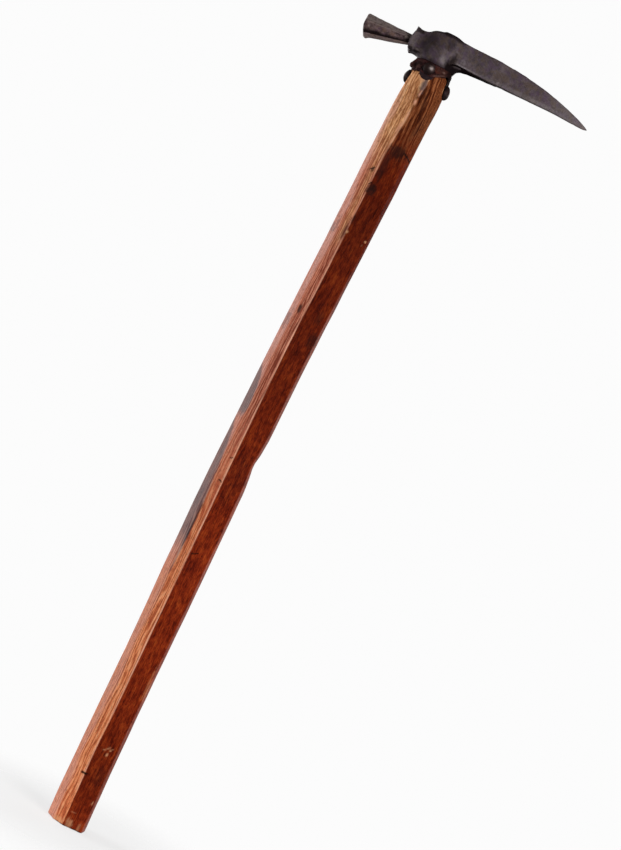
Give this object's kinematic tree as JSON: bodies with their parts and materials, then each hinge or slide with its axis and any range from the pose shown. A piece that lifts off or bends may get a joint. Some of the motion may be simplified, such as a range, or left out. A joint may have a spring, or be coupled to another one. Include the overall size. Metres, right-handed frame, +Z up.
{
  "type": "ice axe",
  "caption": "Old ice axe: bowed, hand-hewn octagonal wooden shaft with a forged iron head, a long tapered pick and a flared hammer bit, banded and nailed at the neck",
  "frame": {"origin": "centre of the shaft's flat foot", "axes": "+Z up along the shaft to the head, +X towards the pick's point, +Y through the thickness towards the back"},
  "size_m": [0.2555, 0.0486, 0.903],
  "materials": {
    "shaft_wood": "old varnished ash, worn bare near the head, satin",
    "forged_iron": "dark forged iron with a dull patina",
    "poll_iron": "dark forged iron, rubbed on the facets",
    "rusted_iron": "rusted iron band, rough and matt",
    "strap_iron": "thin dark iron strap, lightly rusted",
    "nail_iron": "forged nail with a dull dome head"
  },
  "bodies": {
    "root": {"shaft": "shaft_wood", "head": "forged_iron", "hammer_poll": "poll_iron", "neck_collar": "rusted_iron", "front_langet": "strap_iron", "rear_langet": "strap_iron", "pick_side_langet": "strap_iron", "poll_side_langet": "strap_iron", "front_nail": "nail_iron", "rear_nail": "nail_iron", "pick_side_nail": "nail_iron", "poll_side_nail": "nail_iron"}
  },
  "joints": []
}
